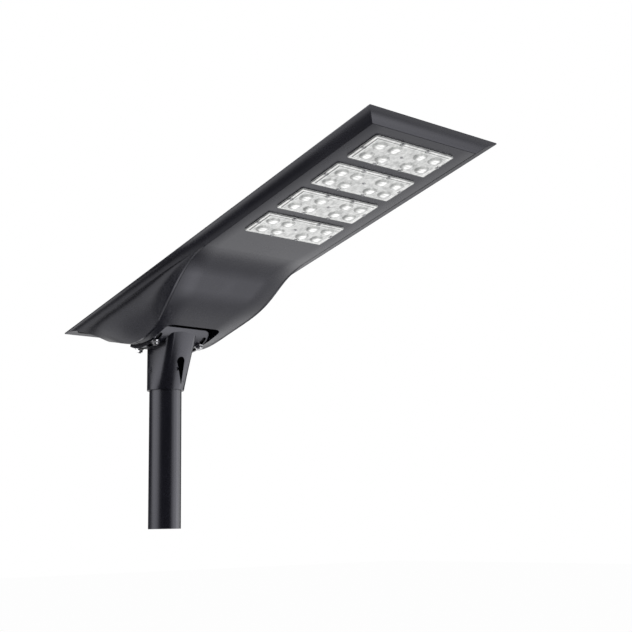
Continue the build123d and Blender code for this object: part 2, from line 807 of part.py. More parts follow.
with BuildPart() as battery_straps:
    for y in strap_places:
        extrude(strap_profile(strap_clearance + strap_thickness).moved(across(y)), amount=strap_width / 2,
                both=True)
        extrude(strap_profile(strap_clearance).moved(across(y)), amount=strap_width / 2, both=True,
                mode=Mode.SUBTRACT)
    extrude(rectangle(0, holder_rear - 30, holder_front + 30, holder_half_width), amount=holder_under,
            mode=Mode.SUBTRACT)
save(battery_straps, "battery_straps")

protection_board_thickness = 1.6
protection_board_top = -9.0
protection_board_height = 29.0
protection_board_half = 28.0
with BuildPart() as battery_board:
    extrude(rectangle(protection_board_top, holder_front, holder_front + protection_board_thickness,
                      protection_board_half), amount=-protection_board_height)
save(battery_board, "battery_board")

# ---------------------------------------------------------------- controller and wiring
case_rear = 170.0
case_front = 226.0
case_half_width = 45.0
case_under = -17.5
case_wall = 1.8
board_plane = -13.0
board_stock = 1.6
wire_radius = 1.4
wire_plane = -10.5
battery_wire_places = (-8.0, 8.0)
case_post_offset = 38.0
ribbon_slot = (12.0, -6.9, 9.0, 2.0)
terminal_block = (6.0, 16.0, 14.0, 4.5)
# Round parts on the board: x, y and radius.
board_parts = ((202, 24, 7), (202, -24, 7), (214, -30, 4), (188, -31, 5), (188, 30, 5))
board_part_height = 4.0
panel_lead_radius = 2.5

with BuildPart() as controller_case:
    extrude(rectangle(floor_under, case_rear, case_front, case_half_width, 3), amount=case_under - floor_under)
    case_inside = rectangle(floor_under, case_rear + case_wall, case_front - case_wall,
                            case_half_width - case_wall, 2)
    extrude(case_inside, amount=case_under + case_wall - floor_under, mode=Mode.SUBTRACT)
    for x in (case_rear + 7, case_front - 7):
        for y in (case_post_offset, -case_post_offset):
            extrude(rectangle(board_plane - board_stock, x - 3, x + 3, 3, y=y),
                    amount=case_under + 0.5 * case_wall - board_plane + board_stock)
    with BuildSketch(station(case_rear - 1)):
        with Locations([(y, wire_plane) for y in battery_wire_places]):
            Circle(wire_radius + 0.4)
    extrude(amount=case_wall + 2, mode=Mode.SUBTRACT)
    ribbon_y, ribbon_z, ribbon_width, ribbon_height = ribbon_slot
    with BuildSketch(station(case_front + 1)):
        with Locations((ribbon_y, ribbon_z)):
            Rectangle(ribbon_width, ribbon_height)
    extrude(amount=-case_wall - 2, mode=Mode.SUBTRACT)
save(controller_case, "controller_case")

with BuildPart() as controller_board:
    extrude(rectangle(board_plane, case_rear + 3, case_front - 3, case_half_width - 3, 2), amount=-board_stock)
    block_rear, block_front, block_half, block_height = terminal_block
    extrude(rectangle(board_plane, case_rear + block_rear, case_rear + block_front, block_half),
            amount=block_height)
    for x, y, size in board_parts:
        with BuildSketch(deck(board_plane)):
            with Locations((x, y)):
                Circle(size)
        extrude(amount=board_part_height)
    with BuildSketch(station(case_rear + 6)):
        with Locations([(y, wire_plane) for y in battery_wire_places]):
            Circle(wire_radius + 0.1)
    extrude(amount=6, mode=Mode.SUBTRACT)
save(controller_board, "controller_board")

with BuildPart() as battery_lead:
    with BuildSketch(station(holder_front + protection_board_thickness)):
        with Locations([(y, wire_plane) for y in battery_wire_places]):
            Circle(wire_radius)
    extrude(amount=case_rear + 11 - holder_front - protection_board_thickness)
save(battery_lead, "battery_lead")

with BuildPart() as panel_lead:
    with BuildSketch(deck(sheet_under)):
        with Locations(panel_lead_place):
            Circle(panel_lead_radius)
    extrude(amount=board_plane - sheet_under)
save(panel_lead, "panel_lead")

with BuildPart() as lead_grommet:
    with BuildSketch(deck(floor_top)):
        with Locations(panel_lead_place):
            Circle(lead_hole_radius)
            Circle(panel_lead_radius + 0.1, mode=Mode.SUBTRACT)
    extrude(amount=floor_under - floor_top)
save(lead_grommet, "lead_grommet")

lead_top = -6.5
lead_under = -7.2
with BuildPart() as led_lead:
    extrude(rectangle(lead_top, case_front - 14, module_first + 5, 4, y=lead_y), amount=lead_under - lead_top)
    for centre in module_centres:
        extrude(rectangle(lead_under, centre - 1.5, centre + 1.5, 1.5, y=lead_y), amount=board_top - lead_under)
    extrude(rectangle(lead_under, case_front - 14, case_front - 11, 2, y=lead_y),
            amount=board_plane - lead_under)
save(led_lead, "led_lead")

with BuildPart() as casting_seal:
    seal_edge = plan_edge[0][1] - seam_gap
    seal_front = head_front - cove_width - seam_gap
    extrude(rectangle(floor_under, slope_start, seal_front, seal_edge),
            amount=led_plane + cast_wall - floor_under)
    extrude(rectangle(floor_under, slope_start - 1, seal_front - 20, seal_edge - 12),
            amount=led_plane + cast_wall - floor_under, mode=Mode.SUBTRACT)
    with BuildSketch(deck(floor_under)):
        with Locations(casting_screw_places):
            Circle(casting_screw_radius + 0.2)
    extrude(amount=led_plane + cast_wall - floor_under, mode=Mode.SUBTRACT)
save(casting_seal, "casting_seal")

# ---------------------------------------------------------------- push switch in the back wall
flange_radius = 6.6
flange_thickness = 1.6
washer_stock = 1.0
button_radius = 3.5
button_fit = 0.06
button_rise = 2.4
button_depth = 7.0
collar_radius = 4.1
switch_travel = 1.5
barrel_end = -96.0
button_hole_depth = 3.0
collar_start = 2.1
spring_seat_radius = 2.6
spring_seat_depth = 5.0
switch_nut_flats = 13.0
switch_nut_height = 2.5
flange_face = boss_outer - washer_stock - flange_thickness


def switch_disc(x, radius):
    """Disc on the switch's axis, on the cross-section plane at x."""
    with BuildSketch(station(x)) as disc:
        with Locations((0, switch_z)):
            Circle(radius)
    return disc.sketch


def switch_hexagon(x, across_flats):
    """Hexagon on the switch's axis, on the cross-section plane at x."""
    with BuildSketch(station(x)) as shape:
        with Locations((0, switch_z)):
            RegularPolygon(across_flats / 2, 6, major_radius=False)
    return shape.sketch


with BuildPart() as switch_body:
    extrude(switch_disc(flange_face, flange_radius), amount=flange_thickness)
    extrude(switch_disc(flange_face, switch_barrel_radius - 0.1), amount=barrel_end - flange_face)
    extrude(switch_disc(flange_face, button_radius + button_fit), amount=button_hole_depth, mode=Mode.SUBTRACT)
    extrude(switch_disc(flange_face + 2.0, collar_radius + button_fit), amount=barrel_end - flange_face,
            mode=Mode.SUBTRACT)
save(switch_body, "switch_body")

with BuildPart() as switch_seal:
    extrude(switch_disc(boss_outer, flange_radius - 0.2), amount=-washer_stock)
    extrude(switch_disc(boss_outer, switch_barrel_radius), amount=-washer_stock, mode=Mode.SUBTRACT)
save(switch_seal, "switch_seal")

with BuildPart() as switch_nut:
    extrude(switch_hexagon(hull_back, switch_nut_flats), amount=switch_nut_height)
    extrude(switch_disc(hull_back, switch_barrel_radius), amount=switch_nut_height, mode=Mode.SUBTRACT)
save(switch_nut, "switch_nut")

with BuildPart() as push_button:
    extrude(switch_disc(flange_face - button_rise, button_radius), amount=button_rise + button_depth)
    extrude(switch_disc(flange_face + collar_start, collar_radius), amount=button_depth - collar_start)
    extrude(switch_disc(flange_face + button_depth, spring_seat_radius), amount=-spring_seat_depth,
            mode=Mode.SUBTRACT)
    fillet(push_button.faces().sort_by(Axis((0, 0, 0), head_x))[0].edges(), 0.6)
save(push_button, "push_button")

spring_height = 3.3
spring_pitch = 1.1
spring_radius = 2.0
spring_wire_radius = 0.25
pin_places = (-1.8, 1.8)
pin_length = 5.0
contact_face = flange_face + button_depth + switch_travel + 0.3
with BuildPart() as switch_contact:
    extrude(switch_disc(contact_face, collar_radius - 0.2), amount=barrel_end - contact_face + 1.0)
    for y in pin_places:
        with BuildSketch(station(barrel_end + 1.0)):
            with Locations((y, switch_z)):
                Rectangle(1.2, 3.0)
        extrude(amount=pin_length)
save(switch_contact, "switch_contact")

with BuildPart() as switch_spring:
    spring_start = station(contact_face - spring_height - 0.4).from_local_coords((0, switch_z, 0))
    with BuildLine() as coil:
        Helix(pitch=spring_pitch, height=spring_height, radius=spring_radius, center=spring_start,
              direction=head_x)
    with BuildSketch(Plane(origin=coil.line @ 0, z_dir=coil.line % 0)):
        Circle(spring_wire_radius)
    sweep()
save(switch_spring, "switch_spring")
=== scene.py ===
"""Looks of the solar street lamp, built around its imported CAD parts. Metres, in the parts' own frame."""

from math import cos, exp, radians, sin

import bpy
from mathutils import Matrix, Vector


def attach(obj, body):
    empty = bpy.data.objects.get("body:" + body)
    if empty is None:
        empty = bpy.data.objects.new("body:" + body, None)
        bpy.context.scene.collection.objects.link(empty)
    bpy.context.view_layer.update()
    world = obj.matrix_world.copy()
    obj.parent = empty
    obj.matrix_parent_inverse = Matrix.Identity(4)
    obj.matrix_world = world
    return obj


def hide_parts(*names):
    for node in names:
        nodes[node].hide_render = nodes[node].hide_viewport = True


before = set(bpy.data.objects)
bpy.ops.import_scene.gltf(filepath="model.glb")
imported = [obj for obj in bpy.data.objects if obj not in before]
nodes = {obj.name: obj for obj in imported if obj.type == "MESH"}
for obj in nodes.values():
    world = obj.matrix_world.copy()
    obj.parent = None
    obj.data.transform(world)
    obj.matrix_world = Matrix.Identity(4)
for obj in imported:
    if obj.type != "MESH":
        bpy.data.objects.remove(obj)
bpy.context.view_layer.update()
MODULES = (1, 2, 3, 4)

# ---------------------------------------------------------------- head frame
HEAD_TILT = radians(12.5)
HEAD_ORIGIN = Vector((0.0, 0.0, 0.408))
HEAD_X = Vector((cos(HEAD_TILT), 0.0, sin(HEAD_TILT)))
HEAD_Z = Vector((-sin(HEAD_TILT), 0.0, cos(HEAD_TILT)))
ACROSS = Vector((0.0, 1.0, 0.0))

# ---------------------------------------------------------------- camera
CAMERA_PLACE = Vector((1.7713, -1.1276, -0.0022))
CAMERA_AZIMUTH = 139.72
CAMERA_PITCH = 10.74
CAMERA_ROLL = -1.03
SENSOR_WIDTH = 36.0
LENS = 63.5
VIEW_DEPTH = 60.0


def direction(azimuth, elevation):
    """Unit vector at an azimuth from +X and an elevation above the horizon, in degrees."""
    level = cos(radians(elevation))
    return Vector((level * cos(radians(azimuth)), level * sin(radians(azimuth)), sin(radians(elevation))))


camera = bpy.data.objects.new("camera", bpy.data.cameras.new("camera"))
camera.data.lens = LENS
camera.data.sensor_width = SENSOR_WIDTH
camera.data.clip_end = VIEW_DEPTH
camera.location = CAMERA_PLACE
turn = direction(CAMERA_AZIMUTH, CAMERA_PITCH).to_track_quat("-Z", "Y").to_matrix()
camera.rotation_euler = (turn @ Matrix.Rotation(radians(CAMERA_ROLL), 3, "Z")).to_euler()
bpy.context.scene.collection.objects.link(camera)
bpy.context.scene.camera = camera


# ---------------------------------------------------------------- node helpers
class Nodes:
    """Short hand for building a node tree."""

    def __init__(self, tree):
        self.tree = tree

    def add(self, kind, **settings):
        node = self.tree.nodes.new(kind)
        for name, value in settings.items():
            setattr(node, name, value)
        return node

    def link(self, source, target):
        self.tree.links.new(source, target)

    def feed(self, socket, value):
        """Link a socket's value, or set it as a constant."""
        if isinstance(value, bpy.types.NodeSocket):
            self.link(value, socket)
        else:
            socket.default_value = value

    def math(self, operation, *values):
        node = self.add("ShaderNodeMath", operation=operation)
        for socket, value in zip(node.inputs, values):
            self.feed(socket, value)
        return node.outputs[0]

    def remap(self, value, low, high, to_low=0.0, to_high=1.0, smooth=False):
        """Map low..high on to to_low..to_high and stop at both ends."""
        node = self.add("ShaderNodeMapRange", interpolation_type="SMOOTHSTEP" if smooth else "LINEAR")
        for index, item in enumerate((value, low, high, to_low, to_high)):
            self.feed(node.inputs[index], item)
        return node.outputs[0]

    def mix(self, factor, first, second):
        """Blend two colours, each a socket or three numbers."""
        node = self.add("ShaderNodeMix", data_type="RGBA")
        self.feed(node.inputs[0], factor)
        for socket, value in ((node.inputs[6], first), (node.inputs[7], second)):
            self.feed(socket, value if isinstance(value, bpy.types.NodeSocket) else (*value, 1.0))
        return node.outputs[2]

    def dot(self, vector, axis):
        """Coordinate of a vector along an axis."""
        node = self.add("ShaderNodeVectorMath", operation="DOT_PRODUCT")
        self.link(vector, node.inputs[0])
        node.inputs[1].default_value = axis
        return node.outputs["Value"]

    def noise(self, vector, scale, detail=2.0, roughness=0.5):
        node = self.add("ShaderNodeTexNoise")
        self.link(vector, node.inputs["Vector"])
        node.inputs["Scale"].default_value = scale
        node.inputs["Detail"].default_value = detail
        node.inputs["Roughness"].default_value = roughness
        return node.outputs["Fac"]

    def bump(self, height, distance, strength=1.0, normal=None):
        node = self.add("ShaderNodeBump")
        self.link(height, node.inputs["Height"])
        node.inputs["Distance"].default_value = distance
        node.inputs["Strength"].default_value = strength
        if normal:
            self.link(normal, node.inputs["Normal"])
        return node.outputs[0]


# ---------------------------------------------------------------- studio
BACKDROP = (1.0, 1.0, 1.0)
BACKDROP_BRIGHTNESS = 1.0
FILL = 0.04
FLOOR_HEIGHT = -0.9
FLOOR_SIZE = 40.0
FLOOR_TONE = (0.985, 0.985, 0.985)
# Soft boxes round the lamp: azimuth, elevation, inner and outer half-angle in degrees, brightness.
SOFT_BOXES = [
    (-105.0, 20.0, 10.0, 45.0, 2.2),
    (-155.0, -30.0, 8.0, 34.0, 0.8),
    (45.0, -8.0, 10.0, 38.0, 2.2),
    (80.0, 0.0, 8.0, 30.0, 1.8),
    (58.0, -57.0, 8.0, 28.0, 2.0),
    (20.0, -80.0, 8.0, 36.0, 1.0),
    (122.0, -34.0, 10.0, 34.0, 0.6),
    (150.0, -20.0, 8.0, 32.0, 0.6),
    (0.0, 90.0, 30.0, 80.0, 1.0),
]

bpy.context.scene.view_settings.view_transform = "Standard"
bpy.context.scene.view_settings.look = "None"

world = bpy.data.worlds.new("studio")
bpy.context.scene.world = world
world.use_nodes = True
sky = Nodes(world.node_tree)
background = world.node_tree.nodes["Background"]
towards = sky.add("ShaderNodeTexCoord").outputs["Generated"]
light = FILL
for azimuth, elevation, inner, outer, brightness in SOFT_BOXES:
    closeness = sky.dot(towards, direction(azimuth, elevation))
    glow = sky.remap(closeness, cos(radians(outer)), cos(radians(inner)), 0.0, brightness, smooth=True)
    light = sky.math("ADD", light, glow)
# The camera sees the even backdrop, and every other ray meets the soft boxes.
seen = sky.add("ShaderNodeLightPath").outputs["Is Camera Ray"]
sky.feed(background.inputs["Color"], (*BACKDROP, 1.0))
sky.link(sky.remap(seen, 0.0, 1.0, light, BACKDROP_BRIGHTNESS), background.inputs["Strength"])

floor_mesh = bpy.data.meshes.new("floor")
half = FLOOR_SIZE / 2
outline = [(-half, -half), (half, -half), (half, half), (-half, half)]
corners = [(x, y, FLOOR_HEIGHT) for x, y in outline]
floor_mesh.from_pydata(corners, [], [(0, 1, 2, 3)])
floor = bpy.data.objects.new("floor", floor_mesh)
bpy.context.scene.collection.objects.link(floor)
floor_finish = bpy.data.materials.new("floor_finish")
floor_finish.use_nodes = True
paint = Nodes(floor_finish.node_tree)
floor_finish.node_tree.nodes.clear()
# The floor is pale to the camera and clear to every other ray, so that light reaches the underside.
floor_glow = paint.add("ShaderNodeEmission")
floor_glow.inputs["Color"].default_value = (*FLOOR_TONE, 1.0)
floor_clear = paint.add("ShaderNodeBsdfTransparent")
choice = paint.add("ShaderNodeMixShader")
paint.link(paint.add("ShaderNodeLightPath").outputs["Is Camera Ray"], choice.inputs[0])
paint.link(floor_clear.outputs[0], choice.inputs[1])
paint.link(floor_glow.outputs[0], choice.inputs[2])
paint.link(choice.outputs[0], paint.add("ShaderNodeOutputMaterial").inputs["Surface"])
floor_mesh.materials.append(floor_finish)


# ---------------------------------------------------------------- materials
def finish_of(name):
    """New node material: returns it with its node helper, shader and object coordinates."""
    material = bpy.data.materials.new(name)
    material.use_nodes = True
    helper = Nodes(material.node_tree)
    shader = material.node_tree.nodes["Principled BSDF"]
    place = helper.add("ShaderNodeTexCoord").outputs["Object"]
    return material, helper, shader, place


def see_through(material, helper, shader, share, tint):
    """Let a material pass light: share is how much of its own shader shows, over clear tinted glass."""
    clear = helper.add("ShaderNodeBsdfTransparent")
    clear.inputs["Color"].default_value = (*tint, 1.0)
    blend = helper.add("ShaderNodeMixShader")
    helper.link(share, blend.inputs[0])
    helper.link(clear.outputs[0], blend.inputs[1])
    helper.link(shader.outputs[0], blend.inputs[2])
    output = material.node_tree.nodes["Material Output"]
    helper.link(blend.outputs[0], output.inputs["Surface"])


def dress(material, *names):
    """Give CAD nodes one material."""
    for name in names:
        mesh = nodes[name].data
        mesh.materials.clear()
        mesh.materials.append(material)


# Powder coat, and the crown that the keel casting's coat carries. Along the head, the casting's half-width
# grows from CASTING_NARROW to CASTING_WIDE over WIDENING, and the crown's band narrows over BAY_START.
COAT = (0.0085, 0.0085, 0.0135)
COAT_LIGHT = (0.0105, 0.0105, 0.0160)
COAT_SHEEN = (0.90, 0.90, 1.0)
COAT_ROUGHNESS = 0.26
COAT_IOR = 1.6
CASTING_NARROW = 0.070
CASTING_WIDE = 0.1065
WIDENING = (-0.02, 0.26)
BAY_START = (0.22, 0.32)
CROWN_RADIUS = 0.15
CROWN_WIDTH_HULL = 0.042
CROWN_WIDTH_BAY = 0.024


def crown_height(helper, place):
    """Shallow crown of the keel casting: it falls away from flat towards its two long edges."""
    along = helper.math("SUBTRACT", helper.dot(place, HEAD_X), HEAD_ORIGIN.dot(HEAD_X))
    edge = helper.remap(along, *WIDENING, CASTING_NARROW, CASTING_WIDE, smooth=True)
    width = helper.remap(along, *BAY_START, CROWN_WIDTH_HULL, CROWN_WIDTH_BAY, smooth=True)
    sideways = helper.math("ABSOLUTE", helper.dot(place, ACROSS))
    flat = helper.math("SUBTRACT", edge, width)
    reach = helper.math("MAXIMUM", helper.math("SUBTRACT", sideways, flat), 0.0)
    return helper.math("MULTIPLY", helper.math("MULTIPLY", reach, reach), -0.5 / CROWN_RADIUS)


def powder_coat(name, color=COAT, light_color=COAT_LIGHT, roughness=COAT_ROUGHNESS, crowned=False):
    """Satin powder coat: fine orange peel, faint mottling and slightly uneven gloss."""
    material, helper, shader, place = finish_of(name)
    cloud = helper.noise(place, 9.0, 4.0, 0.6)
    speck = helper.noise(place, 900.0, 2.0, 0.6)
    tone = helper.mix(helper.remap(cloud, 0.35, 0.65, 0.0, 1.0, smooth=True), color, light_color)
    helper.link(tone, shader.inputs["Base Color"])
    gloss = helper.math("ADD", helper.remap(cloud, 0.3, 0.7, roughness - 0.03, roughness + 0.03),
                        helper.remap(speck, 0.3, 0.7, -0.02, 0.02))
    helper.link(gloss, shader.inputs["Roughness"])
    shader.inputs["IOR"].default_value = COAT_IOR
    shader.inputs["Specular Tint"].default_value = (*COAT_SHEEN, 1.0)
    peel = helper.bump(helper.noise(place, 420.0, 2.0, 0.5), 0.0001, 0.2)
    grain = helper.bump(speck, 0.00003, 0.12, peel)
    if crowned:
        grain = helper.bump(crown_height(helper, place), 1.0, 1.0, grain)
    helper.link(grain, shader.inputs["Normal"])
    return material


def plain_metal(name, color, roughness):
    """Bare metal with fine machining marks and uneven gloss."""
    material, helper, shader, place = finish_of(name)
    shader.inputs["Metallic"].default_value = 1.0
    marks = helper.noise(place, 1200.0, 3.0, 0.7)
    patch = helper.noise(place, 60.0, 3.0, 0.6)
    dull = tuple(channel * 0.75 for channel in color)
    helper.link(helper.mix(helper.remap(patch, 0.35, 0.7), color, dull), shader.inputs["Base Color"])
    helper.link(helper.remap(marks, 0.3, 0.7, roughness - 0.06, roughness + 0.08), shader.inputs["Roughness"])
    helper.link(helper.bump(marks, 0.00003, 0.4), shader.inputs["Normal"])
    return material


def moulded(name, color, roughness, grain=700.0, depth=0.00005):
    """Moulded plastic, rubber or board: fine grain with slight colour variation."""
    material, helper, shader, place = finish_of(name)
    grit = helper.noise(place, grain, 2.0, 0.6)
    patch = helper.noise(place, 40.0, 3.0, 0.6)
    dark = tuple(channel * 0.82 for channel in color)
    helper.link(helper.mix(helper.remap(patch, 0.35, 0.65), color, dark), shader.inputs["Base Color"])
    helper.link(helper.remap(grit, 0.3, 0.7, roughness - 0.05, roughness + 0.05), shader.inputs["Roughness"])
    helper.link(helper.bump(grit, depth, 0.3), shader.inputs["Normal"])
    return material


GLASS_IOR = 1.5
GLASS_TINT = (0.93, 0.96, 0.95)
GLASS_LEAST_GLOSS = 0.10
GLASS_DARK = (0.02, 0.022, 0.024)
GLASS_DUST = (0.05, 0.052, 0.052)
WAFER = (0.004, 0.007, 0.020)
WAFER_LIGHT = (0.006, 0.010, 0.030)
SILVER = (0.20, 0.205, 0.215)
WAFER_SPECULAR = 0.12
CELL_WIDTH = 0.072
BUSBARS_PER_CELL = 5
BUSBAR_PITCH = CELL_WIDTH / BUSBARS_PER_CELL
BUSBAR_SHARE = 0.07
FINGER_PITCH = 0.0016
FINGER_SHARE = 0.08
FINGER_SHINE = 0.08


def stripes(helper, along, pitch, share):
    """1 on thin lines that repeat every pitch along a coordinate, 0 between them."""
    phase = helper.math("FRACT", helper.math("DIVIDE", along, pitch))
    return helper.math("LESS_THAN", phase, share)


def silicon_finish():
    """Monocrystalline cells: blue-black silicon under fine silver fingers and busbars."""
    material, helper, shader, place = finish_of("silicon")
    fingers = stripes(helper, helper.dot(place, HEAD_X), FINGER_PITCH, FINGER_SHARE)
    busbars = stripes(helper, helper.dot(place, ACROSS), BUSBAR_PITCH, BUSBAR_SHARE)
    grid = helper.math("MAXIMUM", busbars, helper.math("MULTIPLY", fingers, FINGER_SHINE))
    cloud = helper.noise(place, 14.0, 3.0, 0.6)
    wafer = helper.mix(helper.remap(cloud, 0.35, 0.65), WAFER, WAFER_LIGHT)
    helper.link(helper.mix(grid, wafer, SILVER), shader.inputs["Base Color"])
    helper.link(helper.remap(cloud, 0.3, 0.7, 0.40, 0.52), shader.inputs["Roughness"])
    shader.inputs["Specular IOR Level"].default_value = WAFER_SPECULAR
    return material


def glass_finish():
    """Tempered panel glass: clear, glossy by angle, with a faint rolled texture and a little dust."""
    material, helper, shader, place = finish_of("panel_glass")
    wave = helper.noise(place, 260.0, 2.0, 0.5)
    dust = helper.noise(place, 7.0, 5.0, 0.65)
    helper.link(helper.mix(helper.remap(dust, 0.4, 0.7), GLASS_DARK, GLASS_DUST), shader.inputs["Base Color"])
    helper.link(helper.remap(dust, 0.35, 0.7, 0.05, 0.16), shader.inputs["Roughness"])
    helper.link(helper.bump(wave, 0.00002, 0.01), shader.inputs["Normal"])
    fresnel = helper.add("ShaderNodeFresnel")
    fresnel.inputs["IOR"].default_value = GLASS_IOR
    gloss = helper.remap(fresnel.outputs[0], 0.0, 1.0, GLASS_LEAST_GLOSS, 1.0)
    # Only the outer faces are glossy: inner ones would turn into mirrors and hide the cells.
    front = helper.math("SUBTRACT", 1.0, helper.add("ShaderNodeNewGeometry").outputs["Backfacing"])
    see_through(material, helper, shader, helper.math("MULTIPLY", gloss, front), GLASS_TINT)
    return material


dress(silicon_finish(), "solar_cells")
dress(glass_finish(), "solar_glass")

dress(powder_coat("shell_coat"), "upper_shell")
dress(powder_coat("casting_coat", crowned=True), "lower_casting")
dress(powder_coat("bracket_coat"), "mounting_bracket")
dress(powder_coat("pole_coat"), "pole_tube")
dress(powder_coat("saddle_coat", (0.004, 0.004, 0.005), (0.006, 0.006, 0.007), 0.6), "tilt_saddle")

dress(plain_metal("stainless", (0.80, 0.80, 0.82), 0.24),
      "clamp_studs", "clamp_nuts", "flat_washers", "spring_washers", "saddle_screws", "casting_screws",
      "battery_straps", "switch_nut", "switch_spring")
dress(plain_metal("dark_steel", (0.10, 0.10, 0.11), 0.38), "set_screws")
dress(plain_metal("screw_steel", (0.42, 0.42, 0.44), 0.35), "lens_screws")

dress(moulded("silicone", (0.012, 0.012, 0.014), 0.6), "panel_seal", "casting_seal", "lead_grommet",
      "switch_seal", *[f"led_gasket_{n}" for n in MODULES])
dress(moulded("foam_tape", (0.015, 0.015, 0.016), 0.85, 300.0, 0.0002), "panel_tape")
dress(moulded("black_plastic", (0.018, 0.018, 0.02), 0.45), "battery_holder", "controller_case",
      "switch_body", "switch_contact")
dress(moulded("backsheet", (0.78, 0.79, 0.80), 0.5), "panel_backsheet")
dress(moulded("cell_wrap", (0.02, 0.12, 0.38), 0.3), "battery_cells")
dress(moulded("green_board", (0.01, 0.12, 0.05), 0.35), "battery_board", "controller_board")
dress(moulded("wire_red", (0.45, 0.02, 0.02), 0.4), "battery_lead")
dress(moulded("wire_black", (0.015, 0.015, 0.016), 0.4), "panel_lead")
dress(moulded("wire_white", (0.75, 0.75, 0.73), 0.4), "led_lead")
dress(moulded("button_red", (0.42, 0.015, 0.015), 0.3), "push_button")
dress(moulded("white_board", (0.86, 0.87, 0.86), 0.35), *[f"led_board_{n}" for n in MODULES])
dress(moulded("phosphor", (0.95, 0.82, 0.30), 0.4), *[f"led_chips_{n}" for n in MODULES])


# ---------------------------------------------------------------- LED optics
# Sizes of one module in its own frame: x runs along the head, y across it, and z points into the head.
MODULE_FIRST = 0.6566
MODULE_PITCH = 0.086
LENS_TOP = -0.0116
LENS_HALF_X = 0.0338
LENS_HALF_Y = 0.08025
LENS_CORNER = 0.004
PLATE_THICKNESS = 0.0016
PLATEAU_RISE = 0.001
PLATEAU_INSET_X = 0.0046
PLATEAU_INSET_Y = 0.006
PLATEAU_EDGE = 0.0005
NOTCH_RADIUS = 0.004
SIDE_SCREW_X = 0.0313
SIDE_SCREW_Y = 0.026
END_SCREW_Y = 0.0776
SCREW_PLACES = [(x, y) for x in (-SIDE_SCREW_X, SIDE_SCREW_X) for y in (-SIDE_SCREW_Y, SIDE_SCREW_Y)]
SCREW_PLACES += [(0.0, -END_SCREW_Y), (0.0, END_SCREW_Y)]
CENTRE_RECESS = 0.0032
DOME_PLACES = [(x, y) for x in (-0.0145, 0.0145) for y in (-0.057, -0.026, 0.026, 0.057)]
DOME_HALF_X = 0.0108
DOME_HALF_Y = 0.0122
DOME_RISE = 0.00305
DOME_FULLNESS = 0.62
DOME_GROOVE = 0.26
DOME_GROOVE_WIDTH = 0.3
LENS_STEPS_X = 76
LENS_STEPS_Y = 180
# Painted light and shade on the lens plate: a level for the plate, painted shade on the outline, creases and
# dome rings, and a painted highlight on the rim and in the domes' cores.
PLATE_PAINTED_LIGHT = 0.52
OUTLINE_PAINTED_SHADE = 0.12
OUTLINE_WIDTH = 0.0013
RIM_PAINTED_HIGHLIGHT = 0.66
CREASE_PAINTED_SHADE = 0.0
CREASE_WIDTH = 0.0011
RING_PAINTED_SHADE = 0.38
CORE_HIGHLIGHT_REACH = 0.6
CORE_HIGHLIGHT_SPLIT = 0.55
CORE_HIGHLIGHT_SPLIT_WIDTH = 0.16
# Lens colours that the painted light blends between: painted shade to painted light.
OPTIC_PAINTED_SHADE = (0.16, 0.17, 0.17)
OPTIC_PAINTED_LIT = (0.99, 0.99, 0.98)
# Colour of the painted glow. The lens is no lamp, but it glows where its painted light is high.
OPTIC_PAINTED_GLOW = (1.0, 1.0, 0.985)
OPTIC_TINT = (0.97, 0.98, 0.98)
OPTIC_IOR = 1.58


def step(distance, width):
    """Smooth step from 0 to 1 as distance goes from 0 to width."""
    share = min(max(distance / width, 0.0), 1.0)
    return share * share * (3.0 - 2.0 * share)


def plateau_margins(x, y):
    """Distances inward from the plateau's straight edges and from the notches round the screws."""
    edge = min(LENS_HALF_X - PLATEAU_INSET_X - abs(x), LENS_HALF_Y - PLATEAU_INSET_Y - abs(y))
    notch = min(((x - px) ** 2 + (y - py) ** 2) ** 0.5 for px, py in SCREW_PLACES) - NOTCH_RADIUS
    return edge, notch


def domes_at(x, y):
    """The domes that cover a point: its place across each one, and how far out it lies, 0 to 1."""
    for px, py in DOME_PLACES:
        u = (x - px) / DOME_HALF_X
        v = (y - py) / DOME_HALF_Y
        reach = u * u + v * v
        if reach < 1.0:
            yield u, reach


def optic_depth(x, y):
    """Depth of the lens plate's outer face below its back, at a point of the module."""
    recess = (x * x + y * y) ** 0.5 - CENTRE_RECESS
    depth = PLATE_THICKNESS + PLATEAU_RISE * step(min(*plateau_margins(x, y), recess), PLATEAU_EDGE)
    for u, reach in domes_at(x, y):
        groove = 1.0 - DOME_GROOVE * exp(-(u / DOME_GROOVE_WIDTH) ** 2)
        depth += DOME_RISE * (1.0 - reach) ** DOME_FULLNESS * groove
    return depth


def painted_optic_light(x, y):
    """Painted light and shade of the moulding: painted shade 0 at creases, halfway on the plate, a painted
    highlight up to 1 in the domes' cores.
    """
    edge, notch = plateau_margins(x, y)
    inside = min(edge, notch)
    tone = PLATE_PAINTED_LIGHT
    outline = min(LENS_HALF_X - abs(x), LENS_HALF_Y - abs(y))
    if outline < OUTLINE_WIDTH or -CREASE_WIDTH < notch < 0.0:
        tone = OUTLINE_PAINTED_SHADE
    elif inside < 0.0:
        tone = RIM_PAINTED_HIGHLIGHT
    elif inside < CREASE_WIDTH:
        tone = CREASE_PAINTED_SHADE
    elif inside < 3.0 * CREASE_WIDTH:
        tone = RIM_PAINTED_HIGHLIGHT
    for u, reach in domes_at(x, y):
        split = 1.0 - CORE_HIGHLIGHT_SPLIT * exp(-(u / CORE_HIGHLIGHT_SPLIT_WIDTH) ** 2)
        tone = RING_PAINTED_SHADE + (1.0 - RING_PAINTED_SHADE) * step(CORE_HIGHLIGHT_REACH - reach, CORE_HIGHLIGHT_REACH) * split
    return tone


def rounded(x, y):
    """Pull a point of the square module outline in to its rounded corners."""
    over_x = abs(x) - (LENS_HALF_X - LENS_CORNER)
    over_y = abs(y) - (LENS_HALF_Y - LENS_CORNER)
    if over_x <= 0.0 or over_y <= 0.0:
        return x, y
    scale = max(over_x, over_y) / (over_x * over_x + over_y * over_y) ** 0.5
    return (x - (over_x - over_x * scale) * (1 if x > 0 else -1),
            y - (over_y - over_y * scale) * (1 if y > 0 else -1))


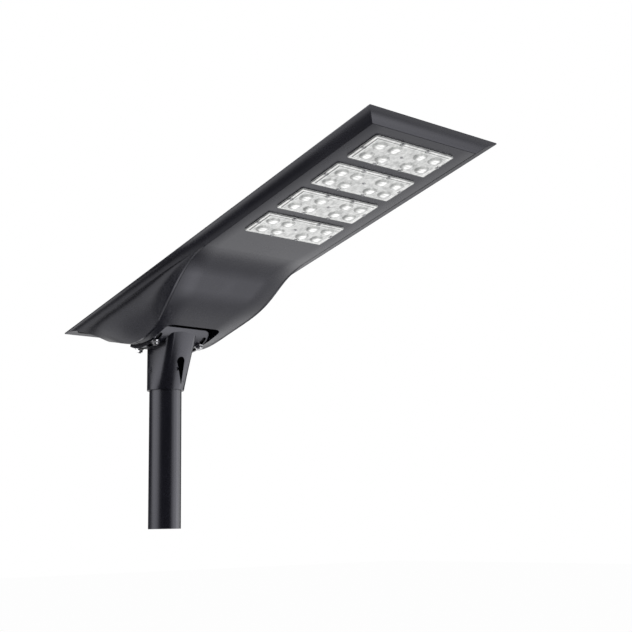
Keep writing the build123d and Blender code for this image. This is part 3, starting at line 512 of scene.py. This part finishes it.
def optic_mesh():
    """Lens plate in the module's own frame: outer face with eight domes, side walls and flat back."""
    points = []
    for j in range(LENS_STEPS_Y + 1):
        for i in range(LENS_STEPS_X + 1):
            x, y = rounded(LENS_HALF_X * (2 * i / LENS_STEPS_X - 1), LENS_HALF_Y * (2 * j / LENS_STEPS_Y - 1))
            points.append((x, y, -optic_depth(x, y)))
    row = LENS_STEPS_X + 1
    faces = [(j * row + i, (j + 1) * row + i, (j + 1) * row + i + 1, j * row + i + 1)
             for j in range(LENS_STEPS_Y) for i in range(LENS_STEPS_X)]
    rim = list(range(row))
    rim += [j * row + LENS_STEPS_X for j in range(1, LENS_STEPS_Y + 1)]
    rim += [LENS_STEPS_Y * row + i for i in range(LENS_STEPS_X - 1, -1, -1)]
    rim += [j * row for j in range(LENS_STEPS_Y - 1, 0, -1)]
    start = len(points)
    points += [(points[k][0], points[k][1], 0.0) for k in rim]
    count = len(rim)
    faces += [(rim[k], rim[(k + 1) % count], start + (k + 1) % count, start + k) for k in range(count)]
    faces.append(tuple(start + k for k in range(count)))
    mesh = bpy.data.meshes.new("optic")
    mesh.from_pydata(points, [], faces)
    for polygon in mesh.polygons[:LENS_STEPS_X * LENS_STEPS_Y]:
        polygon.use_smooth = True
    # Each point's painted light and shade goes into the tone attribute. The side walls carry the rim's
    # painted highlight.
    painted_light_values = mesh.attributes.new("tone", "FLOAT", "POINT")
    painted_light_values.data.foreach_set("value", [painted_optic_light(x, y) for x, y, _ in points[:start]] + [RIM_PAINTED_HIGHLIGHT] * count)
    return mesh


def optic_finish():
    """Clear moulded polycarbonate: part see-through, part milky, glossy by angle, with painted light, shade
    and glow from the tone attribute.
    """
    material, helper, shader, place = finish_of("clear_lens")
    haze = helper.noise(place, 130.0, 3.0, 0.6)
    flow = helper.noise(place, 500.0, 2.0, 0.5)
    tone = helper.add("ShaderNodeAttribute", attribute_name="tone").outputs["Fac"]
    # Painted light and shade from the tone attribute, with random haze added, sets the base colour between
    # painted shade and painted light.
    painted_light_and_haze = helper.math("ADD", tone, helper.remap(haze, 0.35, 0.65, -0.1, 0.1))
    helper.link(helper.mix(painted_light_and_haze, OPTIC_PAINTED_SHADE, OPTIC_PAINTED_LIT), shader.inputs["Base Color"])
    # Painted glow: the lens emits light where its painted light is high, standing in for bright spots
    # gathered by the domes.
    shader.inputs["Emission Color"].default_value = (*OPTIC_PAINTED_GLOW, 1.0)
    helper.link(helper.remap(painted_light_and_haze, 0.35, 1.0, 0.0, 0.6), shader.inputs["Emission Strength"])
    helper.link(helper.remap(flow, 0.3, 0.7, 0.06, 0.14), shader.inputs["Roughness"])
    shader.inputs["IOR"].default_value = OPTIC_IOR
    shader.inputs["Coat Weight"].default_value = 0.5
    shader.inputs["Coat Roughness"].default_value = 0.04
    helper.link(helper.bump(flow, 0.00004, 0.3), shader.inputs["Normal"])
    facing = helper.add("ShaderNodeLayerWeight").outputs["Facing"]
    see_through(material, helper, shader, helper.remap(facing, 0.0, 0.9, 0.78, 0.96), OPTIC_TINT)
    return material


head_frame = Matrix((HEAD_X, ACROSS, HEAD_Z)).transposed().to_4x4()
head_frame.translation = HEAD_ORIGIN
clear_lens = optic_finish()
shared_optic = optic_mesh()
for number in MODULES:
    mesh = shared_optic.copy()
    mesh.name = f"optic_{number}"
    centre = MODULE_FIRST - MODULE_PITCH * (number - 1)
    mesh.transform(head_frame @ Matrix.Translation((centre, 0.0, LENS_TOP)))
    mesh.materials.append(clear_lens)
    optic = bpy.data.objects.new(f"optic_{number}", mesh)
    bpy.context.scene.collection.objects.link(optic)
    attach(optic, "head")
    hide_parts(f"led_lens_{number}")
